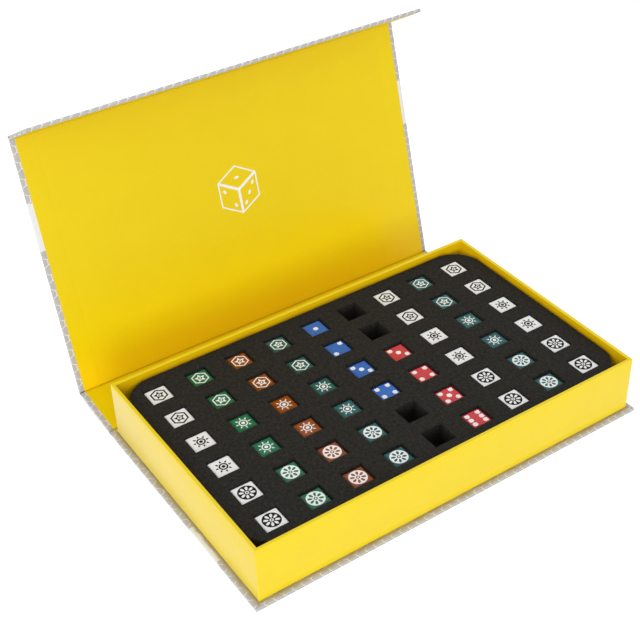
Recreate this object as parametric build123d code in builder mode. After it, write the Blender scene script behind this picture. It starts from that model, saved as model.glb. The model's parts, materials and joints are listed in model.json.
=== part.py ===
"""Book-style dice box: a folding cover with a magnetic flap, a paper-wrapped tray, a foam insert and its dice.

Millimetres. +X is the box's right, +Y its back and +Z up. The origin is on the table, under the tray's middle.
The box stands open: the spine lies almost flat behind the tray, the lid leans back and the flap bends forward.
"""

import os
from math import cos, radians, sin

from build123d import *

os.makedirs("parts", exist_ok=True)

# Sheet stock
board_t = 2.0  # greyboard
paper_t = 0.2  # printed wrap and lining paper

# Tray, measured over its paper
tray_length = 280.0
tray_width = 172.0
tray_height = 40.0
tray_turn_under = 15.0  # wrap turned under the tray's floor
floor_liner_gap = 0.2  # floor lining to the walls' paper

# Cover
side_overhang = 4.0  # cover beyond the tray's ends
front_ledge = 0.3  # base beyond the closed flap
turn_in = 15.0  # wrap turned onto a panel's inside
liner_inset = 3.2  # lining paper to a panel's edge
closing_gap = 0.8  # closed spine or flap to the tray's wall
lid_gap = 0.5  # closed lid to the tray's rim
flap_foot_gap = 2.0  # closed flap's edge to the base
fold_edge_gap = 0.5  # fold line to the board that reaches it
fold_clearance = 0.2  # closed fold, between the two boards

# Angles of the open box, above the table at the back
spine_angle = 4.7
lid_angle = 75.0
flap_angle = 149.6

# Magnetic closure
magnet_spacing = 182.0
magnet_height = 11.0  # above the tray's underside
magnet_d = 12.0
magnet_t = 1.2
keeper_length = 24.0
keeper_width = 12.0
keeper_t = 0.6

# Foam insert
rim_drop = 5.1  # foam top below the tray's rim
foam_gap = 0.6  # foam to the tray's walls
foam_corner_r = 21.0
columns = 9
rows = 6
end_margin = 19.8  # foam end to the first column's middle
side_margin = 17.2  # foam side to the first row's middle

# Dice
white_die = 14.8
resin_die = 14.4
pip_die = 14.3
pocket_gap = 0.2  # largest die to its pocket's walls
die_drop = 1.3  # largest die's top below the foam's top
seat_gap = 0.15  # die to the pocket's floor
emblem_die_r = 1.2
pip_die_r = 1.3
pip_d = 3.45
pip_depth = 0.45
pip_pitch = 4.05  # outer pips from the face's middle

# Cover section, from the outside in: wrap, board, turned-in wrap, lining
fold_r = 2 * paper_t  # a fold is two papers thick, and turns about its inner side
base_t = board_t + 2 * paper_t
cover_t = base_t + paper_t
cover_length = tray_length + 2 * side_overhang
fold_set_back = cover_t - fold_r + fold_clearance  # fold line to the board that clears it

# Fold lines and panel lengths, which follow from the closed box
tray_z = base_t
rim_z = tray_z + tray_height
fold_y = tray_width / 2 + closing_gap + cover_t - fold_r
spine_length = rim_z + lid_gap + cover_t - 2 * fold_r
lid_length = 2 * fold_y
flap_length = spine_length + fold_r - base_t - flap_foot_gap
base_front = -fold_y - fold_r - front_ledge


def along(angle):
    """Unit vector, as (y, z), of a panel that stands at this angle."""
    return Vector(cos(radians(angle)), sin(radians(angle)))


def inward(angle):
    """Unit vector, as (y, z), from a panel's outside to its inside."""
    return Vector(-sin(radians(angle)), cos(radians(angle)))


def panel_plane(fold, angle):
    """A panel's own plane: X along the fold, Y away from it, Z to the inside."""
    facing = inward(angle)
    return Plane(origin=(0, fold.X, fold.Y), x_dir=(1, 0, 0), z_dir=(0, facing.X, facing.Y))


spine_fold_line = Vector(fold_y, fold_r)
lid_fold_line = spine_fold_line + along(spine_angle) * spine_length
flap_fold_line = lid_fold_line + along(lid_angle) * lid_length

base_plane = panel_plane(spine_fold_line, 0)
spine_plane = panel_plane(spine_fold_line, spine_angle)
lid_plane = panel_plane(lid_fold_line, lid_angle)
flap_plane = panel_plane(flap_fold_line, flap_angle)

# Each panel: its plane, its near and far ends, and which of the ends are wrapped edges
base_panel = (base_plane, base_front - fold_y, -fold_edge_gap, True, False)
spine_panel = (spine_plane, fold_set_back, spine_length - fold_set_back, False, False)
lid_panel = (lid_plane, fold_edge_gap, lid_length - fold_edge_gap, False, False)
flap_panel = (flap_plane, fold_set_back, flap_length, False, True)

# Heights in a panel's plane
wrap_z = -fold_r
board_z = wrap_z + paper_t
turn_in_z = board_z + board_t
liner_z = turn_in_z + paper_t


def save(piece, name):
    piece.label = name
    export_step(piece, f"parts/{name}.step")


def strip(panel, edge, end_edge, z):
    """Sketch of a panel's rectangle, set in by edge at its sides and by end_edge at its wrapped ends."""
    plane, near, far, near_wrapped, far_wrapped = panel
    low = near + (end_edge if near_wrapped else 0)
    high = far - (end_edge if far_wrapped else 0)
    with BuildSketch(plane.offset(z)) as sketch:
        with Locations((0, (low + high) / 2)):
            Rectangle(cover_length - 2 * edge, high - low)
    return sketch.sketch


def panel_board(panel):
    with BuildPart() as board:
        extrude(strip(panel, paper_t, paper_t, board_z), amount=board_t)
    return board.part


def panel_wrap(panel):
    """Outer paper with its edges folded round the board and turned in over its inside."""
    with BuildPart() as wrap:
        extrude(strip(panel, 0, 0, wrap_z), amount=base_t)
        extrude(strip(panel, paper_t, paper_t, board_z), amount=board_t, mode=Mode.SUBTRACT)
        extrude(strip(panel, turn_in, turn_in, turn_in_z), amount=paper_t, mode=Mode.SUBTRACT)
    return wrap.part


def panel_liner(panel):
    """Inner paper, which laps over the turned-in wrap and reaches the board between."""
    with BuildPart() as liner:
        extrude(strip(panel, turn_in, turn_in, turn_in_z), amount=paper_t)
        extrude(strip(panel, liner_inset, liner_inset, liner_z), amount=paper_t)
    return liner.part


def paper_fold(line, angle, gap, next_angle, next_gap):
    """Doubled paper over the gap between two boards, rolled round the fold line."""
    middle_angle = (angle + next_angle) / 2
    with BuildPart() as fold:
        with BuildSketch(Plane.YZ.offset(-cover_length / 2)):
            with BuildLine():
                near_end = line - along(angle) * gap
                far_end = line + along(next_angle) * next_gap
                roll_start = line - inward(angle) * fold_r
                roll_end = line - inward(next_angle) * fold_r
                Polyline(roll_start, near_end - inward(angle) * fold_r, near_end, line, far_end)
                Polyline(far_end, far_end - inward(next_angle) * fold_r, roll_end)
                ThreePointArc(roll_end, line - inward(middle_angle) * fold_r, roll_start)
            make_face()
        extrude(amount=cover_length)
    return fold.part


# Cover: base, spine and lid
save(panel_board(base_panel), "base_board")
save(panel_wrap(base_panel), "base_wrap")
save(panel_board(spine_panel), "spine_board")
save(panel_wrap(spine_panel), "spine_wrap")
save(panel_liner(spine_panel), "spine_liner")
save(panel_board(lid_panel), "lid_board")
save(panel_wrap(lid_panel), "lid_wrap")
save(panel_liner(lid_panel), "lid_liner")

# Cover: flap, with magnets let into its board under the lining
magnet_y = spine_length + fold_r - tray_z - magnet_height  # from the flap's fold line
magnet_face = flap_plane.offset(turn_in_z)
magnet_spots = [(side * magnet_spacing / 2, magnet_y) for side in (-1, 1)]

with BuildPart() as flap_board:
    add(panel_board(flap_panel))
    with BuildSketch(magnet_face):
        with Locations(*magnet_spots):
            Circle(magnet_d / 2)
    extrude(amount=-magnet_t, mode=Mode.SUBTRACT)
save(flap_board.part, "flap_board")

with BuildPart() as flap_magnets:
    with BuildSketch(magnet_face):
        with Locations(*magnet_spots):
            Circle(magnet_d / 2)
    extrude(amount=-magnet_t)
save(flap_magnets.part, "flap_magnets")

save(panel_wrap(flap_panel), "flap_wrap")
save(panel_liner(flap_panel), "flap_liner")

# Cover: paper folds
save(paper_fold(spine_fold_line, 0, fold_edge_gap, spine_angle, fold_set_back), "spine_fold")
save(paper_fold(lid_fold_line, spine_angle, fold_set_back, lid_angle, fold_edge_gap), "lid_fold")
save(paper_fold(flap_fold_line, lid_angle, fold_edge_gap, flap_angle, fold_set_back), "flap_fold")

# Tray boards: a floor with four walls standing on it
wall_t = board_t + 2 * paper_t
floor_z = tray_z + paper_t
wall_z = floor_z + board_t
wall_height = rim_z - paper_t - wall_z
board_length = tray_length - 2 * paper_t
board_width = tray_width - 2 * paper_t
end_wall_length = board_width - 2 * board_t
inner_length = tray_length - 2 * wall_t
inner_width = tray_width - 2 * wall_t


def tray_wall(length, width, x, y):
    with BuildPart() as wall:
        with BuildSketch(Plane.XY.offset(wall_z)):
            with Locations((x, y)):
                Rectangle(length, width)
        extrude(amount=wall_height)
    return wall.part


with BuildPart() as tray_floor:
    with BuildSketch(Plane.XY.offset(floor_z)):
        Rectangle(board_length, board_width)
    extrude(amount=board_t)
save(tray_floor.part, "tray_floor")

wall_x = (board_length - board_t) / 2
wall_y = (board_width - board_t) / 2
save(tray_wall(board_length, board_t, 0, wall_y), "tray_back_wall")
save(tray_wall(board_t, end_wall_length, -wall_x, 0), "tray_left_wall")
save(tray_wall(board_t, end_wall_length, wall_x, 0), "tray_right_wall")

# Front wall, with steel keepers let into its face under the wrap
keeper_face = Plane.XZ.offset(board_width / 2)
keeper_spots = [(side * magnet_spacing / 2, tray_z + magnet_height) for side in (-1, 1)]

with BuildPart() as tray_front_wall:
    add(tray_wall(board_length, board_t, 0, -wall_y))
    with BuildSketch(keeper_face):
        with Locations(*keeper_spots):
            Rectangle(keeper_length, keeper_width)
    extrude(amount=-keeper_t, mode=Mode.SUBTRACT)
save(tray_front_wall.part, "tray_front_wall")

with BuildPart() as closure_keepers:
    with BuildSketch(keeper_face):
        with Locations(*keeper_spots):
            Rectangle(keeper_length, keeper_width)
    extrude(amount=-keeper_t)
save(closure_keepers.part, "closure_keepers")

# Tray wrap: under the floor's edge, up the walls, over the rim and down the inside
with BuildPart() as tray_wrap:
    with BuildSketch(Plane.XY.offset(tray_z)):
        Rectangle(tray_length, tray_width)
    extrude(amount=tray_height)
    with BuildSketch(Plane.XY.offset(floor_z)):
        Rectangle(board_length, board_width)
    extrude(amount=board_t + wall_height, mode=Mode.SUBTRACT)
    with BuildSketch(Plane.XY.offset(wall_z)):
        Rectangle(inner_length + 2 * paper_t, inner_width + 2 * paper_t)
    extrude(amount=wall_height + paper_t)
    with BuildSketch(Plane.XY.offset(wall_z)):
        Rectangle(inner_length, inner_width)
    extrude(amount=wall_height + paper_t, mode=Mode.SUBTRACT)
    with BuildSketch(Plane.XY.offset(tray_z)):
        Rectangle(tray_length - 2 * tray_turn_under, tray_width - 2 * tray_turn_under)
    extrude(amount=paper_t, mode=Mode.SUBTRACT)
save(tray_wrap.part, "tray_wrap")

with BuildPart() as tray_floor_liner:
    with BuildSketch(Plane.XY.offset(wall_z)):
        Rectangle(inner_length - 2 * floor_liner_gap, inner_width - 2 * floor_liner_gap)
    extrude(amount=paper_t)
save(tray_floor_liner.part, "tray_floor_liner")

# Foam insert: a plain base under a layer cut through with pockets
largest_die = max(white_die, resin_die, pip_die)
pocket_size = largest_die + 2 * pocket_gap
pocket_depth = largest_die + die_drop + seat_gap
foam_length = inner_length - 2 * foam_gap
foam_width = inner_width - 2 * foam_gap
foam_z = wall_z + paper_t
foam_top = rim_z - rim_drop
pocket_z = foam_top - pocket_depth
column_pitch = (foam_length - 2 * end_margin) / (columns - 1)
row_pitch = (foam_width - 2 * side_margin) / (rows - 1)

with BuildPart() as foam_base:
    with BuildSketch(Plane.XY.offset(foam_z)):
        RectangleRounded(foam_length, foam_width, foam_corner_r)
    extrude(amount=pocket_z - foam_z)
save(foam_base.part, "foam_base")

with BuildPart() as foam_tray:
    with BuildSketch(Plane.XY.offset(pocket_z)):
        RectangleRounded(foam_length, foam_width, foam_corner_r)
        with GridLocations(column_pitch, row_pitch, columns, rows):
            Rectangle(pocket_size, pocket_size, mode=Mode.SUBTRACT)
    extrude(amount=pocket_depth)
save(foam_tray.part, "foam_tray")


def seat(column, row, size):
    """Middle of a die in its pocket: columns count from the left, rows from the back."""
    x = (column - (columns - 1) / 2) * column_pitch
    y = ((rows - 1) / 2 - row) * row_pitch
    return Vector(x, y, pocket_z + seat_gap + size / 2)


# Printed dice: one column of like dice is one node
printed_columns = {
    "white_dice_left": (0, white_die),
    "green_dice": (1, resin_die),
    "amber_dice": (2, resin_die),
    "teal_dice_middle": (3, resin_die),
    "white_dice_middle": (6, white_die),
    "teal_dice_right": (7, resin_die),
    "white_dice_right": (8, white_die),
}


def printed_die(size):
    with BuildPart() as die:
        Box(size, size, size)
        fillet(die.edges(), emblem_die_r)
    return die.part


for name, (column, size) in printed_columns.items():
    with BuildPart() as dice:
        with Locations(*[seat(column, row, size) for row in range(rows)]):
            add(printed_die(size))
    save(dice.part, name)

# Pip dice: each one turned to its own number
pip_spots = {
    1: [(0, 0)],
    2: [(-1, -1), (1, 1)],
    3: [(-1, 1), (0, 0), (1, -1)],
    4: [(-1, -1), (-1, 1), (1, -1), (1, 1)],
    5: [(-1, -1), (-1, 1), (0, 0), (1, -1), (1, 1)],
    6: [(-1, -1), (-1, 0), (-1, 1), (1, -1), (1, 0), (1, 1)],
}
# Top number to the numbers on the front and the right: opposite faces add up to seven
turned_to = {1: (2, 3), 2: (3, 1), 3: (1, 2), 4: (6, 2), 5: (4, 1), 6: (5, 3)}
pip_sphere_r = (pip_d**2 / 4 + pip_depth**2) / (2 * pip_depth)


def pip_face(middle, direction, across):
    """Plane on a die's face, its X across the face and its Z out of it."""
    out = Vector(*direction)
    return Plane(origin=middle + out * (pip_die / 2), x_dir=across, z_dir=direction)


def pip_cube(top, middle):
    front, right = turned_to[top]
    faces = [
        (top, pip_face(middle, (0, 0, 1), (1, 0, 0))),
        (7 - top, pip_face(middle, (0, 0, -1), (1, 0, 0))),
        (front, pip_face(middle, (0, -1, 0), (1, 0, 0))),
        (7 - front, pip_face(middle, (0, 1, 0), (1, 0, 0))),
        (right, pip_face(middle, (1, 0, 0), (0, 1, 0))),
        (7 - right, pip_face(middle, (-1, 0, 0), (0, 1, 0))),
    ]
    rise = pip_sphere_r - pip_depth
    spots = [
        face.location * Pos(x * pip_pitch, y * pip_pitch, rise)
        for number, face in faces
        for x, y in pip_spots[number]
    ]
    with BuildPart() as die:
        with Locations(middle):
            Box(pip_die, pip_die, pip_die)
        fillet(die.edges(), pip_die_r)
        with Locations(*spots):
            Sphere(pip_sphere_r, mode=Mode.SUBTRACT)
    return die.part


# Each pip die stands in the row of its number: ones in the back row, sixes in the front one
for colour, column, numbers in (("blue", 4, range(1, 5)), ("red", 5, range(3, 7))):
    for number in numbers:
        save(pip_cube(number, seat(column, number - 1, pip_die)), f"{colour}_die_{number}")

# Places that the record repeats
for name, line in (
    ("spine fold", spine_fold_line),
    ("lid fold", lid_fold_line),
    ("flap fold", flap_fold_line),
):
    print(f"{name} line at y {line.X:.4f} z {line.Y:.4f}")
print(f"spine {spine_length:.2f}, lid {lid_length:.2f}, flap {flap_length:.2f}")
print(f"pockets {pocket_size:.2f} wide, from z {pocket_z:.3f} to {foam_top:.3f}")
print(f"pitch {column_pitch:.3f} by {row_pitch:.3f}, foam {foam_length:.2f} by {foam_width:.2f}")
print(f"tray mouth {inner_length:.2f} by {inner_width:.2f}, rim at z {rim_z:.2f}")
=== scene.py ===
"""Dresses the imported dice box: printed cover, yellow tray, foam insert and dice, on a white studio stage."""

import json
from collections import Counter
from functools import cache, cached_property
from math import atan2, cos, pi, radians, sin, sqrt

import bmesh
import bpy
from bpy.props import FloatProperty, FloatVectorProperty, PointerProperty
from bpy.types import NodeSocket, Operator, Panel, PropertyGroup
from mathutils import Matrix, Vector, noise


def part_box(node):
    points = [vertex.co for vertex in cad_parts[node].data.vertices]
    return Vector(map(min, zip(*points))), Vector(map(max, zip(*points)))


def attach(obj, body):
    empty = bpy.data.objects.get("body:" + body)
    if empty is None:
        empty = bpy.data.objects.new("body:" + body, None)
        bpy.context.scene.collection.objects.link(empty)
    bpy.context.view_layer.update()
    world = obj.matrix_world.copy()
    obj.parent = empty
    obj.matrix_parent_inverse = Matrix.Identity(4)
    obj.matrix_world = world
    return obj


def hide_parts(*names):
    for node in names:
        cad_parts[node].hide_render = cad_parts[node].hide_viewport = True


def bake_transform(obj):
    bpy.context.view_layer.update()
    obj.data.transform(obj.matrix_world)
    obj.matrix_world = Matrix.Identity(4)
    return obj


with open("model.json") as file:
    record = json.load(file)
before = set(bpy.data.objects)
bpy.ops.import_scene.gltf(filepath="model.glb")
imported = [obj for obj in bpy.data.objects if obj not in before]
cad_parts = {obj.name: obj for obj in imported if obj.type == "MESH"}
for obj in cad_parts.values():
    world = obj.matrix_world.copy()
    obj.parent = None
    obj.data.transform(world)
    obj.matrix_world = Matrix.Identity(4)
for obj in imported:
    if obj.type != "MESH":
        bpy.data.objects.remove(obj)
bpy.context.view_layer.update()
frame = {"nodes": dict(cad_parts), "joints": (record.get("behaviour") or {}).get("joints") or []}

bl_info = {
    "name": "Magnetic Dice Box",
    "version": (1, 0, 0),
    "blender": (4, 5, 0),
    "location": "3D View > Sidebar > Dice Box",
    "description": "Builds the papers, foam, prints and stage of a book-style dice box around its solids",
    "category": "Object",
}

MM = 0.001
# Places closer than this, in metres, count as one
NEAR = 1e-6
NODES = frame["nodes"]
JOINTS = {joint["name"]: joint for joint in frame["joints"]}
FOLDED_PANELS = ("spine", "lid", "flap")
FOLDS = {panel: JOINTS[f"{panel}_hinge"] for panel in FOLDED_PANELS}
PANEL_PARENTS = {"spine": "base", "lid": "spine", "flap": "lid"}

# Printed dice: the node of each column, and its resin
PRINTED_DICE = {
    "white_dice_left": "white",
    "green_dice": "green",
    "amber_dice": "amber",
    "teal_dice_middle": "teal",
    "white_dice_middle": "white",
    "teal_dice_right": "teal",
    "white_dice_right": "white",
}
ROWS = 6
# Motifs on the tops of the printed dice, from the back to the front, each on two rows
MOTIFS = ("star", "sun", "flower")
# Numbers on the tops of the pip dice
PIP_DICE = {"blue": range(1, 5), "red": range(3, 7)}
# Turns that bring the top of a die to each of its sides
FACE_TURNS = (
    Matrix.Identity(4),
    Matrix.Rotation(pi, 4, "X"),
    Matrix.Rotation(pi / 2, 4, "X"),
    Matrix.Rotation(-pi / 2, 4, "X"),
    Matrix.Rotation(pi / 2, 4, "Y"),
    Matrix.Rotation(-pi / 2, 4, "Y"),
)
# Pips on the three faces of the lid's mark, in shares of its reach
MARK_PIPS = (
    ((0, 0),),
    ((-0.22, 0.22), (0.22, -0.22)),
    ((-0.24, 0.24), (0, 0), (0.24, -0.24)),
)
# Lamps: where each stands, and its width
LAMPS = {"key": ((-1.2, -2.75, 0.72), 1.3), "fill": ((-2.7, -1.1, 1.3), 2.2)}
LAMP_TARGET = (0.0, 0.05, 0.05)
FLOOR_RADIUS = 6.0
# Without a seed the foam's wander takes its offsets from the clock, and differs on every run
WANDER_SEED = 7


def length(name, description, millimetres):
    """A length that a user may change."""
    return FloatProperty(
        name=name, description=description, default=millimetres * MM, min=0.0, unit="LENGTH", precision=5
    )


def colour(name, description, red, green, blue):
    """A colour that a user may change."""
    rgba = (red, green, blue, 1.0)
    return FloatVectorProperty(
        name=name, description=description, default=rgba, min=0.0, max=1.0, size=4, subtype="COLOR"
    )


def number(name, description, default, **kind):
    """A plain number that a user may change."""
    return FloatProperty(name=name, description=description, default=default, **kind)


class CoverSettings(PropertyGroup):
    """Sizes and colours of the folding cover."""

    edge_radius: length("Edge radius", "Rounding of the paper over a board's edge", 0.45)
    turn_in: length("Turn-in", "Wrap folded onto a panel's inside", 15.0)
    lining_step: length("Lining step", "How far the lining dips inside the turned-in wrap", 0.12)
    lining_slope: length("Lining slope", "Width of that dip's edge", 2.4)
    hem: length("Hem", "Paper over a board's end at a fold", 0.06)
    # Painted shade on the base round the tray's foot: its width and its brown
    foot_shade: length("Stain", "Width of the glue's stain round the tray", 3.0)
    foot_shade_brown: colour("Stain brown", "Wrap next to the tray, stained by its glue", 0.37, 0.30, 0.19)
    # Width of the painted shade in the papers next to a fold
    crease: length("Crease", "Darker edge of the papers next to a fold", 1.0)
    hexagon: length("Hexagon", "Width of a printed hexagon, flat to flat", 6.2)
    line: length("Line", "Width of the printed lines", 0.45)
    band: length("Band", "Width of the white band across the print", 32.0)
    band_from_front: length("Band from front", "Band's near edge to the box's front", 43.0)
    print_grey: colour("Print grey", "Ground of the cover's print", 0.50, 0.485, 0.465)
    line_white: colour("Line white", "Lines of the cover's print", 0.82, 0.81, 0.80)
    band_white: colour("Band white", "Band across the cover's print", 0.80, 0.80, 0.80)
    mark_width: length("Mark width", "Width of the die mark on the lid's lining", 30.0)
    mark_height: length("Mark height", "Mark's middle above the lid's fold", 97.6)
    mark_line: length("Mark line", "Stroke of the mark's lines", 1.5)


class TraySettings(PropertyGroup):
    """Sizes and colours of the wrapped tray, and the yellow papers."""

    rim_radius: length("Rim radius", "Rounding of the paper over the tray's edges", 0.5)
    paper: length("Paper", "Thickness of the wrap", 0.2)
    wall: length("Wall", "Thickness of a wrapped wall", 2.4)
    corner_radius: length("Corner radius", "Rounding of the paper round the tray's corners", 0.55)
    turn_under: length("Turn-under", "Wrap folded under the tray's floor", 15.0)
    glue_width: length("Glue width", "Glue in front of the tray's foot", 0.35)
    glue_height: length("Glue height", "Glue up the tray's foot", 0.6)
    # The glue's dark brown also stands as painted shadow at the tray's foot
    glue: colour("Glue", "Dried glue round the tray's foot", 0.34, 0.27, 0.065)
    keeper_rise: length("Keeper rise", "How far the keepers show through the front wall's wrap", 0.1)
    yellow: colour("Yellow", "Yellow paper round the tray", 0.885, 0.668, 0.003)
    # A slightly deeper copy of the tray's yellow: painted shade on the cover's inside
    lining_yellow: colour("Lining yellow", "Yellow paper inside the cover", 0.86, 0.64, 0.002)
    # Painted bounce light: a brighter, warmer yellow toward the lid's fold
    fold_yellow: colour("Fold yellow", "That paper on the lid, toward its fold", 0.955, 0.663, 0.002)
    # A deeper copy of the tray's yellow: painted shade down the tray's inside
    inner_yellow: colour("Inner yellow", "Yellow paper down the tray's inside", 0.87, 0.55, 0.002)
    # Painted shade on the tray's inner paper next to the foam
    inner_shade: colour("Inner shade", "Foam dust on that paper, next to the foam", 0.24, 0.105, 0.004)
    # Painted shade in the creases of the folds
    crease_yellow: colour("Crease yellow", "Yellow paper pressed into a fold", 0.86, 0.57, 0.002)


class FoamSettings(PropertyGroup):
    """Sizes and colours of the foam insert."""

    edge_radius: length("Edge radius", "Softening of the pockets' cut edges", 0.7)
    rim_radius: length("Rim radius", "Softening of the foam's outer edge", 2.8)
    ripple: length("Ripple", "Height of the top's soft ripple", 0.16)
    wander: length("Wander", "How far the cut walls wander", 0.06)
    seam: length("Seam", "Depth of the joint between the two layers", 0.35)
    cell: length("Cell", "Width of a foam cell", 0.8)
    charcoal: colour("Charcoal", "Struts of the foam", 0.024, 0.0225, 0.020)
    pit: colour("Pit", "Open cells of the foam", 0.009, 0.008, 0.007)


class DiceSettings(PropertyGroup):
    """Sizes and colours of the dice."""

    ink_rise: length("Ink rise", "Thickness of the print above a face", 0.03)
    ink_sink: length("Ink sink", "Depth of the print below a face", 0.05)
    motif: length("Motif", "Height of a line motif", 11.6)
    disc: length("Disc", "Width of a filled motif", 11.3)
    black_stroke: length("Black stroke", "Stroke of a line motif in black", 1.0)
    white_stroke: length("White stroke", "Stroke of a line motif in white", 0.75)
    white: colour("White", "White resin", 0.905, 0.915, 0.93)
    green: colour("Green", "Green resin", 0.012, 0.23, 0.11)
    amber: colour("Amber", "Amber resin", 0.40, 0.088, 0.007)
    teal: colour("Teal", "Teal resin", 0.016, 0.16, 0.165)
    blue: colour("Blue", "Blue resin", 0.035, 0.155, 0.57)
    red: colour("Red", "Red resin", 0.65, 0.05, 0.056)
    black_ink: colour("Black ink", "Print on the white dice", 0.012, 0.012, 0.013)
    white_ink: colour("White ink", "Print on the coloured dice, and the pips", 0.96, 0.97, 0.98)


class StageSettings(PropertyGroup):
    """Camera, lamps and floor."""

    lens: number("Lens", "Focal length in millimetres", 71.968, min=1.0)
    shift_x: number("Shift X", "Sideways shift of the frame", -0.04367)
    shift_y: number("Shift Y", "Upward shift of the frame", 0.00086)
    camera_place: FloatVectorProperty(
        name="Camera place",
        description="Where the camera stands",
        default=(-0.363329, -0.504992, 0.550270),
        subtype="TRANSLATION",
        unit="LENGTH",
        precision=5,
    )
    camera_turn: FloatVectorProperty(
        name="Camera turn",
        description="Which way the camera looks",
        default=(radians(53.5523), radians(0.7982), radians(-34.9009)),
        subtype="EULER",
        unit="ROTATION",
    )
    key_power: number("Key", "Power of the key lamp", 25.0, min=0.0, unit="POWER")
    fill_power: number("Fill", "Power of the fill lamp", 13.0, min=0.0, unit="POWER")
    ambient: number("Ambient", "Strength of the light from all round", 0.82, min=0.0)
    floor_lift: number("Floor lift", "Light added to the seen floor", 0.45, min=0.0)
    floor: colour("Floor", "Colour of the floor", 0.87, 0.87, 0.87)


class Graph:
    """Places and wires the nodes of one tree."""

    def __init__(self, tree):
        self.tree = tree

    def add(self, kind, inputs=None, **settings):
        node = self.tree.nodes.new(kind)
        for name, value in settings.items():
            setattr(node, name, value)
        for socket, value in (inputs or {}).items():
            self.feed(node.inputs[socket], value)
        return node

    def feed(self, socket, value):
        if isinstance(value, NodeSocket):
            self.tree.links.new(value, socket)
        else:
            socket.default_value = value

    def math(self, operation, first, second=0.0, third=0.0):
        inputs = {0: first, 1: second, 2: third}
        return self.add("ShaderNodeMath", inputs, operation=operation).outputs[0]

    def vector(self, operation, first, second=(0, 0, 0), third=(0, 0, 0)):
        inputs = {0: first, 1: second, 2: third}
        node = self.add("ShaderNodeVectorMath", inputs, operation=operation)
        return node.outputs["Value" if operation == "DOT_PRODUCT" else "Vector"]

    def split(self, vector):
        return tuple(self.add("ShaderNodeSeparateXYZ", {0: vector}).outputs)

    def flat(self, x, y):
        return self.add("ShaderNodeCombineXYZ", {"X": x, "Y": y}).outputs[0]

    def blend(self, factor, first, second):
        node = self.add("ShaderNodeMix", {0: factor, 6: first, 7: second}, data_type="RGBA")
        return node.outputs[2]

    def step(self, value, low, high, start=0.0, end=1.0):
        inputs = {"Value": value, "From Min": low, "From Max": high, "To Min": start, "To Max": end}
        return self.add("ShaderNodeMapRange", inputs, interpolation_type="SMOOTHSTEP").outputs["Result"]

    def noise(self, vector, grain, detail=2.0, roughness=0.5):
        """Clouds about as wide as the grain, which is a length or a socket that holds one."""
        scale = self.math("DIVIDE", 1.0, grain) if isinstance(grain, NodeSocket) else 1 / grain
        inputs = {"Vector": vector, "Scale": scale, "Detail": detail, "Roughness": roughness}
        return self.add("ShaderNodeTexNoise", inputs).outputs[0]

    def group(self, tree, **inputs):
        node = self.add("ShaderNodeGroup", node_tree=tree)
        for name, value in inputs.items():
            self.feed(node.inputs[name.replace("_", " ").capitalize()], value)
        return node.outputs


class Finish(Graph):
    """A material with one Principled shader."""

    def __init__(self, name, **constants):
        self.material = bpy.data.materials.new(name)
        self.material.use_nodes = True
        super().__init__(self.material.node_tree)
        self.tree.nodes.clear()
        shader = self.add("ShaderNodeBsdfPrincipled")
        self.add("ShaderNodeOutputMaterial", {"Surface": shader.outputs[0]})
        self.shader = shader.inputs
        for socket, value in constants.items():
            self.shader[socket.replace("_", " ")].default_value = value

    @cached_property
    def place(self):
        """The surface point in its piece's own frame, in metres."""
        return self.add("ShaderNodeTexCoord").outputs["Object"]

    def fibre(self, fibre, mottle_size):
        return self.group(paper_fibre(), vector=self.place, fibre=fibre, mottle_size=mottle_size)

    def smudge(self, smear):
        return self.group(handling(), vector=self.place, smear=smear)["Smudge"]

    def done(self, paint, rough=None, height=None, strength=0.0, depth=0.0):
        """Feeds the shader a colour, and a roughness and a bump where there are any."""
        self.feed(self.shader["Base Color"], paint)
        if rough is not None:
            self.feed(self.shader["Roughness"], rough)
        if height is not None:
            inputs = {"Strength": strength, "Distance": depth, "Height": height}
            self.feed(self.shader["Normal"], self.add("ShaderNodeBump", inputs).outputs[0])
        return self.material


def shared_group(name, inputs, outputs):
    """Makes a function that wires a node group into one that builds the group once and hands it out.

    An input with no default is a vector, and all others are values.
    """

    def wrap(wire):
        @cache
        def build():
            tree = bpy.data.node_groups.new(name, "ShaderNodeTree")
            for socket, default in inputs.items():
                kind = "NodeSocketFloat" if default else "NodeSocketVector"
                made = tree.interface.new_socket(socket, in_out="INPUT", socket_type=kind)
                if default:
                    made.default_value = default
            for socket in outputs:
                tree.interface.new_socket(socket, in_out="OUTPUT", socket_type="NodeSocketFloat")
            graph = Graph(tree)
            entry, leave = graph.add("NodeGroupInput").outputs, graph.add("NodeGroupOutput").inputs
            for socket, value in zip(outputs, wire(graph, entry)):
                graph.feed(leave[socket], value)
            return tree

        return build

    return wrap


@shared_group(
    "Paper fibre", {"Vector": None, "Fibre": 0.5 * MM, "Mottle size": 14 * MM}, ("Height", "Mottle")
)
def paper_fibre(graph, entry):
    """Fine felt of a sheet: a height for the bump and a slow mottle for the colour."""
    fine = graph.noise(entry["Vector"], entry["Fibre"], 3.0, 0.6)
    slow = graph.noise(entry["Vector"], entry["Mottle size"], 4.0, 0.55)
    return fine, graph.step(slow, 0.3, 0.7)


@shared_group("Handling", {"Vector": None, "Smear": 30 * MM}, ("Smudge",))
def handling(graph, entry):
    """Faint smears that hands leave on a smooth face."""
    stretched = graph.vector("MULTIPLY", entry["Vector"], (1.0, 0.45, 0.8))
    cloud = graph.noise(stretched, entry["Smear"], 5.0, 0.62)
    return (graph.step(cloud, 0.35, 0.75),)


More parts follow.
